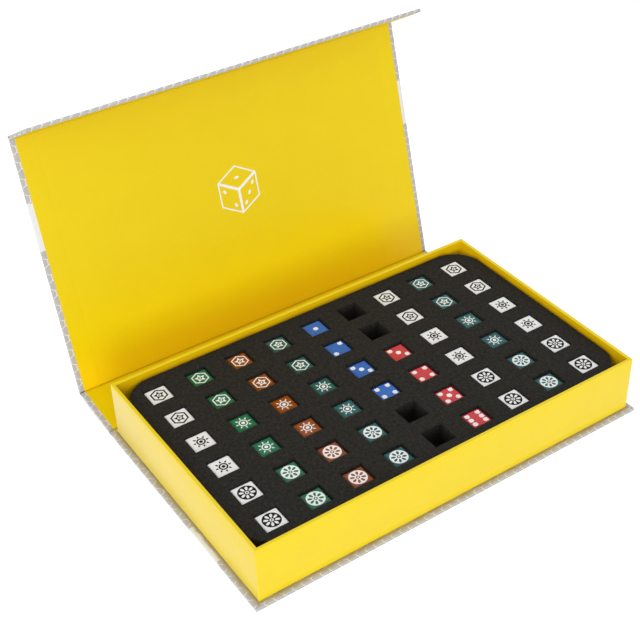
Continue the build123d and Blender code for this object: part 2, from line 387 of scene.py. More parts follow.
@shared_group("Hexagon print", {"Vector": None, "Width": 6.2 * MM, "Stroke": 0.45 * MM}, ("Line",))
def hexagon_print(graph, entry):
    """Lines of a regular honeycomb in the XY plane, its flats across X, that run on over upright edges."""
    slant = sqrt(3) / 2
    half_width = graph.math("MULTIPLY", entry["Width"], 0.5)
    x, y, z = graph.split(entry["Vector"])
    spot = graph.flat(graph.math("ADD", x, z), graph.math("ADD", y, z))
    half = graph.flat(half_width, graph.math("MULTIPLY", entry["Width"], slant))
    back = graph.vector("MULTIPLY", half, (-1, -1, -1))
    first = graph.vector("WRAP", spot, half, back)
    second = graph.vector("WRAP", graph.vector("SUBTRACT", spot, half), half, back)
    nearer = graph.math("LESS_THAN", *(graph.vector("DOT_PRODUCT", way, way) for way in (first, second)))
    chosen = graph.add("ShaderNodeMix", {0: nearer, 4: second, 5: first}, data_type="VECTOR").outputs[1]
    quarter = graph.vector("ABSOLUTE", chosen)
    slanted = graph.vector("DOT_PRODUCT", quarter, (0.5, slant, 0.0))
    reached = graph.math("MAXIMUM", graph.split(quarter)[0], slanted)
    inside = graph.math("SUBTRACT", half_width, reached)
    solid, gone = (graph.math("MULTIPLY", entry["Stroke"], share) for share in (0.3, 0.7))
    return (graph.step(inside, solid, gone, 1.0, 0.0),)


@shared_group("Resin cloud", {"Vector": None, "Swirl size": 7 * MM}, ("Swirl",))
def resin_cloud(graph, entry):
    """Slow swirl of dye in cast resin."""
    return (graph.step(graph.noise(entry["Vector"], entry["Swirl size"], 3.0), 0.25, 0.75),)


@shared_group("Die edge", {"Vector": None, "Pitch": None, "First": None, "Half": 7.2 * MM}, ("Edge",))
def die_edge(graph, entry):
    """How near a point of a face lies to the die's edges: nothing at the face's middle, one at an edge."""
    reach, back = (graph.vector("MULTIPLY", entry["Pitch"], (side,) * 3) for side in (0.5, -0.5))
    local = graph.vector("WRAP", graph.vector("SUBTRACT", entry["Vector"], entry["First"]), reach, back)
    x, y, z = graph.split(graph.vector("ABSOLUTE", local))
    least, most = graph.math("MINIMUM", x, y), graph.math("MAXIMUM", x, y)
    second = graph.math("MAXIMUM", least, graph.math("MINIMUM", most, z))
    return (graph.math("DIVIDE", second, entry["Half"]),)


def shade(rgba, factor):
    return (rgba[0] * factor, rgba[1] * factor, rgba[2] * factor, 1.0)


def foot_shade_mask(sheet, cover):
    """Painted shade on the base round the tray's foot: one at the foot, nothing past its width."""
    low, high = local_box("tray_wrap", "base")
    middle = (low + high) / 2
    away = sheet.vector("ABSOLUTE", sheet.vector("SUBTRACT", sheet.place, tuple(middle)))
    x, y = sheet.split(away)[:2]
    beside = sheet.math("SUBTRACT", x, high.x - middle.x)
    before = sheet.math("SUBTRACT", y, high.y - middle.y)
    uneven = sheet.step(sheet.noise(sheet.place, 7 * MM, 3.0), 0.3, 0.7, -0.15, 0.15)
    reach = sheet.math("MULTIPLY_ADD", uneven, cover.foot_shade, sheet.math("MAXIMUM", beside, before))
    return sheet.step(reach, 0.2 * cover.foot_shade, cover.foot_shade, 1.0, 0.0)


def band_middle(panel, cover):
    """Middle of the white band along the base or the lid."""
    from_front = cover.band_from_front + cover.band / 2
    low, high = local_box(f"{panel}_wrap", panel)
    return low.y + from_front if panel == "base" else high.y - from_front


def wrap_material(panel, cover):
    """Grey honeycomb print on matt paper, with the white band where this panel has it, and painted shade round
    the tray's foot on the base and in the lid's fold.
    """
    sheet = Finish(f"printed_wrap_{panel}")
    fibre = sheet.fibre(0.35 * MM, 9 * MM)
    printed = sheet.group(hexagon_print(), vector=sheet.place, width=cover.hexagon, stroke=cover.line)
    ground = sheet.blend(fibre["Mottle"], cover.print_grey, shade(cover.print_grey, 0.93))
    paint = sheet.blend(printed["Line"], ground, cover.line_white)
    if panel in ("base", "lid"):
        y = sheet.split(sheet.place)[1]
        away = sheet.math("ABSOLUTE", sheet.math("SUBTRACT", y, band_middle(panel, cover)))
        edge, blur = cover.band / 2, 0.1 * MM
        band = sheet.step(away, edge - blur, edge + blur, 1.0, 0.0)
        paint = sheet.blend(band, paint, cover.band_white)
    # Painted shade on the base next to the tray's foot
    if panel == "base":
        paint = sheet.blend(foot_shade_mask(sheet, cover), paint, cover.foot_shade_brown)
    # Painted shade: a dark grey band on the lid's turned-in margin next to its fold
    if panel == "lid":
        low, high = local_box("lid_wrap", "lid")
        y, z = sheet.split(sheet.place)[1:]
        near = sheet.step(y, low.y + 0.5 * cover.crease, low.y + 1.5 * cover.crease, 1.0, 0.0)
        inside = sheet.step(z, 0.4 * high.z, 0.7 * high.z)
        paint = sheet.blend(sheet.math("MULTIPLY", near, inside), paint, shade(cover.print_grey, 0.25))
    rough = sheet.step(sheet.smudge(40 * MM), 0.0, 1.0, 0.46, 0.60)
    return sheet.done(paint, rough, fibre["Height"], 0.16, 0.06 * MM)


def yellow_material(name, ground, sheen=0.44, gloss=0.16, foot=None):
    """Satin yellow paper with a faint mottle, and, where it has a foot, another yellow painted there as light.
    """
    sheet = Finish(name, Specular_IOR_Level=gloss, Sheen_Weight=sheen, Sheen_Roughness=0.36)
    fibre = sheet.fibre(0.35 * MM, 22 * MM)
    paint = sheet.blend(fibre["Mottle"], ground, shade(ground, 0.982))
    # Painted light at the foot: paler at the tray's table, warmer toward the lid's fold
    if foot is not None:
        axis, full, faded, tint = foot
        fade = sheet.step(sheet.split(sheet.place)[axis], full, faded, 1.0, 0.0)
        paint = sheet.blend(fade, paint, tint)
    rough = sheet.step(sheet.smudge(45 * MM), 0.0, 1.0, 0.274, 0.281)
    return sheet.done(paint, rough, fibre["Height"], 0.04, 0.05 * MM)


@cache
def rubbed_material(tray):
    """Lining paper that has lost its sheen."""
    return yellow_material("rubbed_sheet", tray.lining_yellow, sheen=0.0, gloss=0.06)


def lid_material(tray):
    """The lid's lining paper, with painted bounce light that makes it warmer toward its fold."""
    foot = (1, 8 * MM, 34 * MM, tray.fold_yellow)
    return yellow_material("lid_sheet", tray.lining_yellow, gloss=0.2, foot=foot)


@cache
def tray_material(tray):
    """The tray's paper on the outside, painted paler at the table as light against the shade there."""
    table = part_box("tray_wrap")[0].z
    foot = (2, table, table + 9 * MM, shade(tray.yellow, 1.09))
    return yellow_material("tray_sheet", tray.yellow, gloss=0.3, foot=foot)


def inner_material(tray):
    """The tray's paper on the inside: a deeper yellow as painted shade, and darker again with painted shade
    next to the foam, apart from the corners.
    """
    sheet = Finish("inner_sheet", Specular_IOR_Level=0.12)
    fibre = sheet.fibre(0.35 * MM, 22 * MM)
    foam_high, corner_radius = foam_corner()
    x, y, z = sheet.split(sheet.place)
    uneven = sheet.math("MULTIPLY_ADD", fibre["Mottle"], 0.8 * MM, -0.4 * MM)
    height = sheet.math("ADD", z, uneven)
    # Painted shade in a band next to the foam's top, left out at the corners
    above = sheet.step(height, foam_high.z - 2.0 * MM, foam_high.z + 3.0 * MM, 1.0, 0.0)
    below = sheet.step(height, foam_high.z - 10.0 * MM, foam_high.z - 3.0 * MM, 0.2, 1.0)
    past_x = sheet.math("SUBTRACT", sheet.math("ABSOLUTE", x), foam_high.x - corner_radius)
    past_y = sheet.math("SUBTRACT", sheet.math("ABSOLUTE", y), foam_high.y - corner_radius)
    clear_of_corners = sheet.step(sheet.math("MINIMUM", past_x, past_y), 2.0 * MM, 11.0 * MM, 1.0, 0.0)
    shadow = sheet.math("MULTIPLY", sheet.math("MULTIPLY", above, below), clear_of_corners)
    ground = sheet.blend(fibre["Mottle"], tray.inner_yellow, shade(tray.inner_yellow, 0.97))
    paint = sheet.blend(shadow, ground, tray.inner_shade)
    return sheet.done(paint, sheet.step(shadow, 0.0, 1.0, 0.32, 0.6), fibre["Height"], 0.04, 0.05 * MM)


@cache
def crease_material(tray):
    """Lining paper in a fold: a deeper yellow as painted shade in the crease, a little darker again in random
    places.
    """
    sheet = Finish("creased_sheet", Specular_IOR_Level=0.12)
    wear = sheet.smudge(25 * MM)
    paint = sheet.blend(wear, tray.crease_yellow, shade(tray.crease_yellow, 0.75))
    return sheet.done(paint, sheet.step(wear, 0.0, 1.0, 0.4, 0.6))


@cache
def board_material():
    """Grey pulp with darker flecks."""
    board = Finish("bare_board", Roughness=0.92)
    fibre = board.fibre(0.25 * MM, 3 * MM)
    flecks = board.step(board.noise(board.place, 0.7 * MM), 0.62, 0.72)
    ground = board.blend(fibre["Mottle"], (0.40, 0.375, 0.34, 1.0), (0.31, 0.29, 0.265, 1.0))
    paint = board.blend(flecks, ground, (0.20, 0.185, 0.17, 1.0))
    return board.done(paint, None, fibre["Height"], 0.5, 0.12 * MM)


def glue_shadow_material(tray):
    """Dried glue, lumpy and brown, dark enough to stand as painted shadow at the tray's foot."""
    glue = Finish("dried_glue", Specular_IOR_Level=0.2)
    lumps = glue.step(glue.noise(glue.place, 5 * MM, 3.0), 0.3, 0.7)
    paint = glue.blend(lumps, shade(tray.glue, 0.8), shade(tray.glue, 1.25))
    return glue.done(paint, glue.step(lumps, 0.0, 1.0, 0.5, 0.7))


def foam_material(foam):
    """Open cells in charcoal foam, with painted shade as a plain dark tone down the pockets."""
    cut = Finish("charcoal_foam", Specular_IOR_Level=0.15)
    cells = cut.add("ShaderNodeTexVoronoi", {"Vector": cut.place, "Scale": 1 / foam.cell}, feature="F1")
    away = cells.outputs["Distance"]
    open_cell = cut.step(away, 0.12, 0.5, 1.0, 0.0)
    patchy = cut.step(cut.noise(cut.place, 2.2 * MM, 4.0, 0.65), 0.3, 0.7)
    strut = cut.blend(patchy, shade(foam.charcoal, 0.72), shade(foam.charcoal, 1.35))
    low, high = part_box("foam_tray")
    # Painted shade: a plain dark tone down the pockets
    pocket_shade = cut.step(cut.split(cut.place)[2], low.z + 4 * MM, high.z - 0.5 * MM, 1.0, 0.0)
    paint = cut.blend(pocket_shade, cut.blend(open_cell, strut, foam.pit), shade(foam.pit, 2.2))
    fuzz = cut.noise(cut.place, 0.3 * MM, 3.0, 0.7)
    height = cut.math("ADD", away, cut.math("MULTIPLY", fuzz, 0.7))
    return cut.done(paint, cut.step(fuzz, 0.2, 0.8, 0.84, 1.0), height, 0.55, 0.25 * MM)


def dice_column(node):
    """Middle of the back die of a column, half its size and the pitch of the rows, from the solid dice."""
    low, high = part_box(node)
    half = (high.x - low.x) / 2
    first = Vector(((low.x + high.x) / 2, high.y - half, (low.z + high.z) / 2))
    return first, half, (high.y - low.y - 2 * half) / (ROWS - 1)


@cache
def resin_material(kind, dice):
    """Cast resin: white, blue and red are solid colours, the others are clear, with painted shade that darkens
    them toward their edges.
    """
    rgba = getattr(dice, kind)
    clear = kind in ("green", "amber", "teal")
    resin = Finish(f"cast_{kind}", IOR=1.5, Specular_IOR_Level=0.25)
    swirl = resin.group(resin_cloud(), vector=resin.place, swirl_size=6 * MM)["Swirl"]
    thin, thick = (0.85, 1.15) if clear else (0.96, 1.03)
    body = resin.blend(swirl, shade(rgba, thin), shade(rgba, thick))
    if clear:
        resin.shader["Transmission Weight"].default_value = 0.2
        first, half, row_pitch = dice_column("green_dice")
        pitch = Vector((dice_column("amber_dice")[0].x - first.x, row_pitch, 1.0))
        edge = resin.group(die_edge(), vector=resin.place, pitch=pitch, first=first, half=half)["Edge"]
        # Painted shade: the clear dice darken toward their edges
        body = resin.blend(resin.step(edge, 0.55, 1.05), body, shade(rgba, 0.38))
    return resin.done(body, resin.step(resin.smudge(8 * MM), 0.0, 1.0, 0.16, 0.30))


@cache
def ink_material(kind, dice):
    """Matt ink with a faint grain."""
    rgba = getattr(dice, f"{kind}_ink")
    ink = Finish(f"{kind}_ink", Specular_IOR_Level=0.1)
    fibre = ink.fibre(0.4 * MM, 2 * MM)
    paint = ink.blend(fibre["Mottle"], rgba, shade(rgba, 0.92))
    return ink.done(paint, ink.step(fibre["Height"], 0.2, 0.8, 0.36, 0.52))


def metal_material(name, rgba, rough):
    """Brushed metal."""
    metal = Finish(name, Metallic=1.0)
    brushed = metal.noise(metal.vector("MULTIPLY", metal.place, (60.0, 900.0, 900.0)), 0.25, 3.0, 0.6)
    paint = metal.blend(brushed, shade(rgba, 0.85), rgba)
    return metal.done(paint, metal.step(brushed, 0.2, 0.8, rough, rough + 0.15))


def panel_angle(panel):
    """A panel's angle above the table, from how far its folds still turn to close the box."""
    if panel == "base":
        return 0.0
    return panel_angle(PANEL_PARENTS[panel]) + radians(90 - FOLDS[panel]["range_deg"][1])


def panel_place(panel):
    """A panel's own frame: X along its fold, Y away from it, Z to its inside."""
    fold = FOLDS["spine" if panel == "base" else panel]["pos_m"]
    return Matrix.Translation(fold) @ Matrix.Rotation(panel_angle(panel), 4, "X")


def local_box(node, panel):
    """Lowest and highest corner of a solid in a panel's own frame."""
    back = panel_place(panel).inverted()
    points = [back @ vertex.co for vertex in NODES[node].data.vertices]
    return [Vector([pick(point[axis] for point in points) for axis in range(3)]) for pick in (min, max)]


def polar(angle, radius=1.0):
    return Vector((cos(angle), sin(angle))) * radius


def placed(name, data, place=None):
    """An object in the scene, at a place of its own where it has one."""
    made = bpy.data.objects.new(name, data)
    bpy.context.scene.collection.objects.link(made)
    if place is not None:
        made.matrix_world = place
    return made


def smooth(mesh, sharp):
    """Smooths a mesh apart from edges sharper than the given angle."""
    mesh.polygons.foreach_set("use_smooth", [True] * len(mesh.polygons))
    mesh.set_sharp_from_angle(angle=radians(sharp))


def new_piece(name, build, sharp=35.0, place=None):
    """Turns a bmesh into a smooth piece."""
    bmesh.ops.recalc_face_normals(build, faces=build.faces)
    mesh = bpy.data.meshes.new(name)
    build.to_mesh(mesh)
    build.free()
    smooth(mesh, sharp)
    return placed(name, mesh, place)


def paint(piece, *materials):
    piece.data.materials.clear()
    for material in materials:
        piece.data.materials.append(material)


def block(low, high):
    build = bmesh.new()
    place = Matrix.Translation((low + high) / 2) @ Matrix.Diagonal((*(high - low), 1.0))
    bmesh.ops.create_cube(build, size=1.0, matrix=place)
    return build


def round_off(build, edges, radius):
    bmesh.ops.bevel(
        build, geom=edges, offset=radius, segments=4, profile=0.5, affect="EDGES", clamp_overlap=True
    )


def settle(piece, cutters, sharp=35.0):
    """Cuts the cutters out of a piece and keeps the resulting mesh."""
    for cutter in cutters:
        cut = piece.modifiers.new("cut", "BOOLEAN")
        cut.object = cutter
        cut.operation = "DIFFERENCE"
        cut.solver = "EXACT"
    ready = piece.evaluated_get(bpy.context.evaluated_depsgraph_get())
    mesh = bpy.data.meshes.new_from_object(ready)
    mesh.name = piece.name
    piece.modifiers.clear()
    old, piece.data = piece.data, mesh
    for spent in (old, *(cutter.data for cutter in cutters)):
        bpy.data.meshes.remove(spent)
    smooth(mesh, sharp)


def cover_panel(panel, cover):
    """One panel's wrap: paper round the board's edges, turned in over its inside."""
    place = panel_place(panel)
    low, high = local_box(f"{panel}_wrap", panel)
    board = local_box(f"{panel}_board", panel)
    wrapped, past = 0.05 * MM, 1.0 * MM
    window_low = Vector((low.x + cover.turn_in, low.y + cover.turn_in, board[1].z - past))
    window_high = Vector((high.x - cover.turn_in, high.y - cover.turn_in, high.z + past))
    open_ends = []
    if board[0].y - low.y <= wrapped:
        low.y -= cover.hem
        window_low.y = low.y - past
        open_ends.append(low.y)
    if high.y - board[1].y <= wrapped:
        high.y += cover.hem
        window_high.y = high.y + past
        open_ends.append(high.y)
    build = block(low, high)

    def at_open_end(edge):
        return any(all(abs(vertex.co.y - end) < NEAR for vertex in edge.verts) for end in open_ends)

    round_off(build, [edge for edge in build.edges if not at_open_end(edge)], cover.edge_radius)
    piece = new_piece(f"{panel}_paper", build, place=place)
    hollows = {"hollow": board, "window": (window_low, window_high)}
    cutters = [new_piece(f"{panel}_{label}", block(*box), place=place) for label, box in hollows.items()]
    bpy.context.view_layer.update()
    settle(piece, cutters)
    paint(piece, wrap_material(panel, cover))
    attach(piece, panel)
    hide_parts(f"{panel}_wrap")


def spread(values, longest):
    """The values with even steps put between them, none longer than the given one."""
    full = [values[0]]
    for value in values[1:]:
        start = full[-1]
        gap = value - start
        count = max(1, int(gap / longest + 0.999))
        full += [start + gap * step / count for step in range(1, count)]
        full.append(value)
    return full


def lining(panel, cover, tray):
    """Lining sheet of a panel: it laps over the turned-in wrap and dips onto the board between."""
    low, high = local_box(f"{panel}_liner", panel)
    wrap_end = local_box(f"{panel}_wrap", panel)[1].y
    far_wrapped = high.y < wrap_end - 1.0 * MM
    turned_end = wrap_end - cover.turn_in if far_wrapped else None
    hems = [(low.y, 1)] if far_wrapped else [(low.y, 1), (high.y, -1)]
    # Painted shade: the hems that take the crease paper, all but the spine's at the base
    shaded_hems = hems[1:] if panel == "spine" else hems
    paper = lid_material(tray) if panel == "lid" else rubbed_material(tray)
    papers = (paper, crease_material(tray))
    piece = lining_sheet(f"{panel}_lining", panel, low, high, turned_end, hems, shaded_hems, papers, cover)
    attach(piece, panel)
    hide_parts(f"{panel}_liner")


def back_strip(cover, tray):
    """The lining's edge on the base, between the tray and the spine's fold."""
    low, high = local_box("spine_liner", "spine")
    tray_high = local_box("tray_wrap", "base")[1]
    low.x, high.x = -tray_high.x, tray_high.x
    low.y, high.y = tray_high.y + 0.05 * MM, local_box("base_wrap", "base")[1].y
    papers = (rubbed_material(tray), crease_material(tray))
    piece = lining_sheet("back_strip", "base", low, high, None, [(high.y, -1)], [], papers, cover)
    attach(piece, "base")


def lining_sheet(name, panel, low, high, turned_end, hems, shaded_hems, papers, cover):
    """A yellow sheet on a panel's inside, hemmed over the board's ends, with painted shade from the crease
    paper at the shaded hems.
    """
    wrap_high = local_box(f"{panel}_wrap", panel)[1]
    slope = cover.lining_slope / 2
    chamfer, foot, sink = 0.08 * MM, 0.3 * MM, 0.15 * MM
    longest = 12 * MM
    turned = [cover.turn_in - wrap_high.x, wrap_high.x - cover.turn_in]

    def dip_steps(edge):
        return [edge + slope * share for share in (-1.6, -1.0, -0.5, 0.0, 0.5, 1.0, 1.6)]

    columns = [low.x, low.x + chamfer, low.x + 4 * chamfer, *dip_steps(turned[0]), *dip_steps(turned[1])]
    columns = spread([*columns, high.x - 4 * chamfer, high.x - chamfer, high.x], longest)
    lines = [low.y, low.y + chamfer, low.y + 4 * chamfer, high.y - 4 * chamfer, high.y - chamfer, high.y]
    if turned_end is not None:
        lines += dip_steps(turned_end)
    # Lines over a board's end, in hems past it: the paper's drop there, and whether it hangs to the foot
    hem_lines = ((2.0, 0.30, True), (1.1, 0.10, True), (0.9, 0.085, False), (-2.0, 0.01, False))
    folded = {}
    for end, inward in hems:
        lines = [y for y in lines if abs(y - end) > 3 * chamfer]
        for out, drop, hangs in hem_lines:
            folded[end - inward * out * cover.hem] = (drop * MM, hangs)
        folded[end + inward * cover.crease] = (0.0, False)
    lines = spread(sorted(lines + list(folded)), longest)

    def ease(distance):
        share = min(1.0, max(0.0, 0.5 + distance / (2 * slope)))
        return share * share * (3 - 2 * share)

    def dip(x, y):
        end = 1.0 if turned_end is None else ease(turned_end - y)
        return ease(x - turned[0]) * ease(turned[1] - x) * end

    build = bmesh.new()
    top, bottom = {}, {}
    for x in columns:
        for y in lines:
            depth = dip(x, y)
            on_edge = x in (columns[0], columns[-1]) or y in (lines[0], lines[-1])
            drop, hangs = folded.get(y, (chamfer if on_edge else 0.0, False))
            sole = wrap_high.z if depth < 0.5 else wrap_high.z - sink
            top[x, y] = build.verts.new((x, y, high.z - cover.lining_step * depth - drop))
            bottom[x, y] = build.verts.new((x, y, foot if hangs else sole))
    skin(build, top, bottom, columns, lines)
    piece = new_piece(name, build, 40.0, panel_place(panel))
    paint(piece, *papers)
    # Faces within a crease of a shaded hem take the crease paper as painted shade
    for face in piece.data.polygons:
        face.material_index = any((face.center.y - end) * inward < cover.crease for end, inward in shaded_hems)
    return piece


def skin(build, top, bottom, columns, lines):
    """Faces over two like grids of points, and round their edge."""
    for x, next_x in zip(columns, columns[1:]):
        for y, next_y in zip(lines, lines[1:]):
            corners = ((x, y), (next_x, y), (next_x, next_y), (x, next_y))
            build.faces.new([top[corner] for corner in corners])
            build.faces.new([bottom[corner] for corner in reversed(corners)])
    rim = [(x, lines[0]) for x in columns] + [(columns[-1], y) for y in lines[1:]]
    rim += [(x, lines[-1]) for x in reversed(columns[:-1])] + [(columns[0], y) for y in reversed(lines[1:-1])]
    for here, there in zip(rim, rim[1:] + rim[:1]):
        build.faces.new((top[here], bottom[here], bottom[there], top[there]))


def paper_fold(panel, cover, tray):
    """Doubled paper over the gap in front of a panel, bent round its fold line."""
    name, parent = f"{panel}_fold", PANEL_PARENTS[panel]
    joint = Vector(FOLDS[panel]["pos_m"])
    near_gap = (panel_place(parent).inverted() @ joint).y - local_box(f"{parent}_wrap", parent)[1].y
    wrap_low = local_box(f"{panel}_wrap", panel)[0]
    far_gap, outer = wrap_low.y, -wrap_low.z
    inner = 0.15 * outer
    low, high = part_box(name)
    start, end = panel_angle(parent), panel_angle(panel)

    def facing(angle):
        return Vector((0, -sin(angle), cos(angle)))

    def flat(angle, distance, depth):
        return joint + Vector((0, cos(angle), sin(angle))) * distance - facing(angle) * depth

    near_steps, bend_steps, far_steps = 3, 8, 5
    stations = [(start, -near_gap * (1 - step / near_steps)) for step in range(near_steps)]
    stations += [(start + (end - start) * step / bend_steps, 0.0) for step in range(bend_steps + 1)]
    stations += [(end, far_gap * (step + 1) / far_steps) for step in range(far_steps)]
    margin = local_box(f"{panel}_liner", panel)[1].x
    columns = spread([low.x, -margin, margin, high.x], 24 * MM)
    build = bmesh.new()
    top, bottom = {}, {}
    for row, station in enumerate(stations):
        for x in columns:
            for grid, depth in ((top, inner), (bottom, outer)):
                grid[x, row] = build.verts.new(flat(*station, depth) + Vector((x, 0, 0)))
    skin(build, top, bottom, columns, list(range(len(stations))))
    piece = new_piece(f"{panel}_crease", build, 40.0)
    # Painted shade: the inside of the lid's and flap's folds takes the crease paper
    lined = rubbed_material(tray) if panel == "spine" else crease_material(tray)
    paint(piece, wrap_material(name, cover), lined)
    for face in piece.data.polygons:
        inside = face.normal.dot(facing((start + end) / 2)) > 0.3
        face.material_index = inside and abs(face.center.x) < margin
    bend = 0.9 * outer
    flat(start, -bend, 0)
    flat(end, bend, 0)
    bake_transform(piece)
    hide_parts(name)


def ring(half_x, half_y, radius, stops, corner_steps):
    """Points round a rounded rectangle, with stops along its front side."""
    points = [(x, -half_y) for x in stops]
    for turn, (side_x, side_y) in enumerate(((1, -1), (1, 1), (-1, 1), (-1, -1))):
        centre = (side_x * (half_x - radius), side_y * (half_y - radius))
        for step in range(corner_steps + 1):
            angle = -pi / 2 + turn * pi / 2 + step * pi / 2 / corner_steps
            points.append((centre[0] + radius * cos(angle), centre[1] + radius * sin(angle)))
    return points


def swept(name, section, stops, corner_steps, sharp, tray, rise=lambda x, z: 0.0):
    """A closed section carried round the tray, each point a distance in from its outer face and a height."""
    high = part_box("tray_wrap")[1]
    least_radius = 0.15 * MM
    build = bmesh.new()
    loops = []
    for inset, z in section:
        radius = max(least_radius, tray.corner_radius - inset)
        loop = []
        for x, y in ring(high.x - inset, high.y - inset, radius, stops, corner_steps):
            in_front = inset == 0.0 and y <= NEAR - high.y
            loop.append(build.verts.new((x, y - rise(x, z) if in_front else y, z)))
        loops.append(loop)
    count = len(loops[0])
    for first, second in zip(loops, loops[1:] + loops[:1]):
        for index in range(count):
            after = (index + 1) % count
            build.faces.new((first[index], first[after], second[after], second[index]))
    return new_piece(name, build, sharp)


def tray_paper(tray):
    """The tray's wrap: under the floor's edge, up the walls, over the rim and down the inside."""
    low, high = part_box("tray_wrap")
    floor_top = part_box("tray_floor")[1].z
    keeper_low, keeper_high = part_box("closure_keepers")
    keeper_middle = (keeper_low.z + keeper_high.z) / 2
    keeper_half = (keeper_high.z - keeper_low.z) / 2
    keeper_x = keeper_high.x - 2 * keeper_half
    round_r, paper, wall = tray.rim_radius, tray.paper, tray.wall
    step_length, corner, fade = 2 * MM, 4 * MM, 3 * MM

    def arc(centre_in, centre_z, start, end):
        """Points of the section on a quarter round."""
        turns = [start + (end - start) * step / 4 for step in range(5)]
        return [(centre_in - round_r * cos(turn), centre_z + round_r * sin(turn)) for turn in turns]

    levels = [keeper_middle + step_length * step for step in range(-4, 8)]
    section = [(tray.turn_under, low.z)]
    section += arc(round_r, low.z + round_r, -pi / 2, 0)
    section += [(0.0, level) for level in levels if level > low.z + 2 * round_r]
    section += arc(round_r, high.z - round_r, 0, pi / 2)
    section += arc(wall - round_r, high.z - round_r, pi / 2, pi)
    section += [(wall, floor_top), (wall - paper, floor_top), (wall - paper, high.z - paper)]
    section += [(paper, high.z - paper), (paper, low.z + paper), (tray.turn_under, low.z + paper)]
    over_keepers = [side * keeper_x + step_length * step for side in (-1, 1) for step in range(-10, 11)]
    stops = spread([corner - high.x, *sorted(over_keepers), high.x - corner], 30 * MM)

    def rise(x, z):
        """How far a keeper lifts the paper in front of it."""
        beside = max(0.0, (abs(abs(x) - keeper_x) - keeper_half * 1.5) / fade)
        above = max(0.0, (abs(z - keeper_middle) - keeper_half * 0.7) / fade)
        share = max(0.0, 1 - beside * beside - above * above)
        return tray.keeper_rise * share * share

    piece = swept("tray_paper", section, stops, 5, 40.0, tray, rise)
    paint(piece, tray_material(tray), inner_material(tray))
    for face in piece.data.polygons:
        inset = min(high.x - abs(face.center.x), high.y - abs(face.center.y))
        face.material_index = inset > wall - 0.1 * MM and abs(face.normal.z) < 0.1
    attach(piece, "base")
    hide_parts("tray_wrap")


def glue_shadow_line(tray):
    """The bead of glue round the tray's foot, dark so that it also stands as painted shadow there."""
    low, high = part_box("tray_wrap")
    wide, tall = tray.glue_width, tray.glue_height
    under, corner = 0.6 * MM, 4 * MM
    bead = ((-1.0, 0.0), (-0.8, 0.35), (-0.35, 0.8), (0.0, 1.0))
    section = [(under, low.z)]
    section += [(wide * out, low.z + tall * up) for out, up in bead]
    section.append((under, low.z + tall))
    stops = spread([corner - high.x, high.x - corner], 12 * MM)
    piece = swept("tray_glue", section, stops, 4, 60.0, tray)
    paint(piece, glue_shadow_material(tray))
    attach(piece, "base")


def foam_corner():
    """Highest corner of the foam's box, and the radius of its rounded corners."""
    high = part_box("foam_tray")[1]
    corners = [vertex.co for vertex in NODES["foam_tray"].data.vertices]
    return high, high.x - max(corner.x for corner in corners if high.y - corner.y < NEAR)


def pocket_lines(axis):
    """The pockets' cut lines along an axis, from the solid foam: a cut line holds many of its corners."""
    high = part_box("foam_tray")[1]
    many, inside = 10, high[axis] - 1 * MM
    corners = [vertex.co for vertex in NODES["foam_tray"].data.vertices if high.z - vertex.co.z < NEAR]
    found = Counter(round(corner[axis], 5) for corner in corners)
    return sorted(value for value, times in found.items() if times >= many and abs(value) < inside)


def rounded_corners(last_x, last_y):
    """A call that moves a point of the foam's plain rectangle into the rounded one, past the last cuts."""
    high, radius = foam_corner()
    centre_x, centre_y = high.x - radius, high.y - radius

    def outline_x(y):
        return centre_x + sqrt(radius**2 - max(0.0, y - centre_y) ** 2)

    def outline_y(x):
        return centre_y + sqrt(radius**2 - max(0.0, x - centre_x) ** 2)

    root = Vector((last_x, last_y))
    side_point = Vector((outline_x(last_y), last_y))
    end_point = Vector((last_x, outline_y(last_x)))
    side_turn, end_turn = (atan2(spot.y - centre_y, spot.x - centre_x) for spot in (side_point, end_point))
    middle_turn = (side_turn + end_turn) / 2

    def on_arc(start, share):
        turn = start + (middle_turn - start) * share
        return Vector((centre_x + radius * cos(turn), centre_y + radius * sin(turn)))

    tip = on_arc(middle_turn, 1)

    def warp(x, y):
        side_x, side_y = (1 if x >= 0 else -1), (1 if y >= 0 else -1)
        x, y = abs(x), abs(y)
        u, v = (x - last_x) / (high.x - last_x), (y - last_y) / (high.y - last_y)
        if u > 0 and v > 0:
            across = root.lerp(side_point, u) * (1 - v) + on_arc(end_turn, u) * v
            upward = root.lerp(end_point, v) * (1 - u) + on_arc(side_turn, v) * u
            both = root.lerp(side_point, u) * (1 - v) + end_point.lerp(tip, u) * v
            x, y = across + upward - both
        elif u > 0:
            x = last_x + u * (outline_x(y) - last_x)
        elif v > 0:
            y = last_y + v * (outline_y(x) - last_y)
        return side_x * x, side_y * y

    return warp


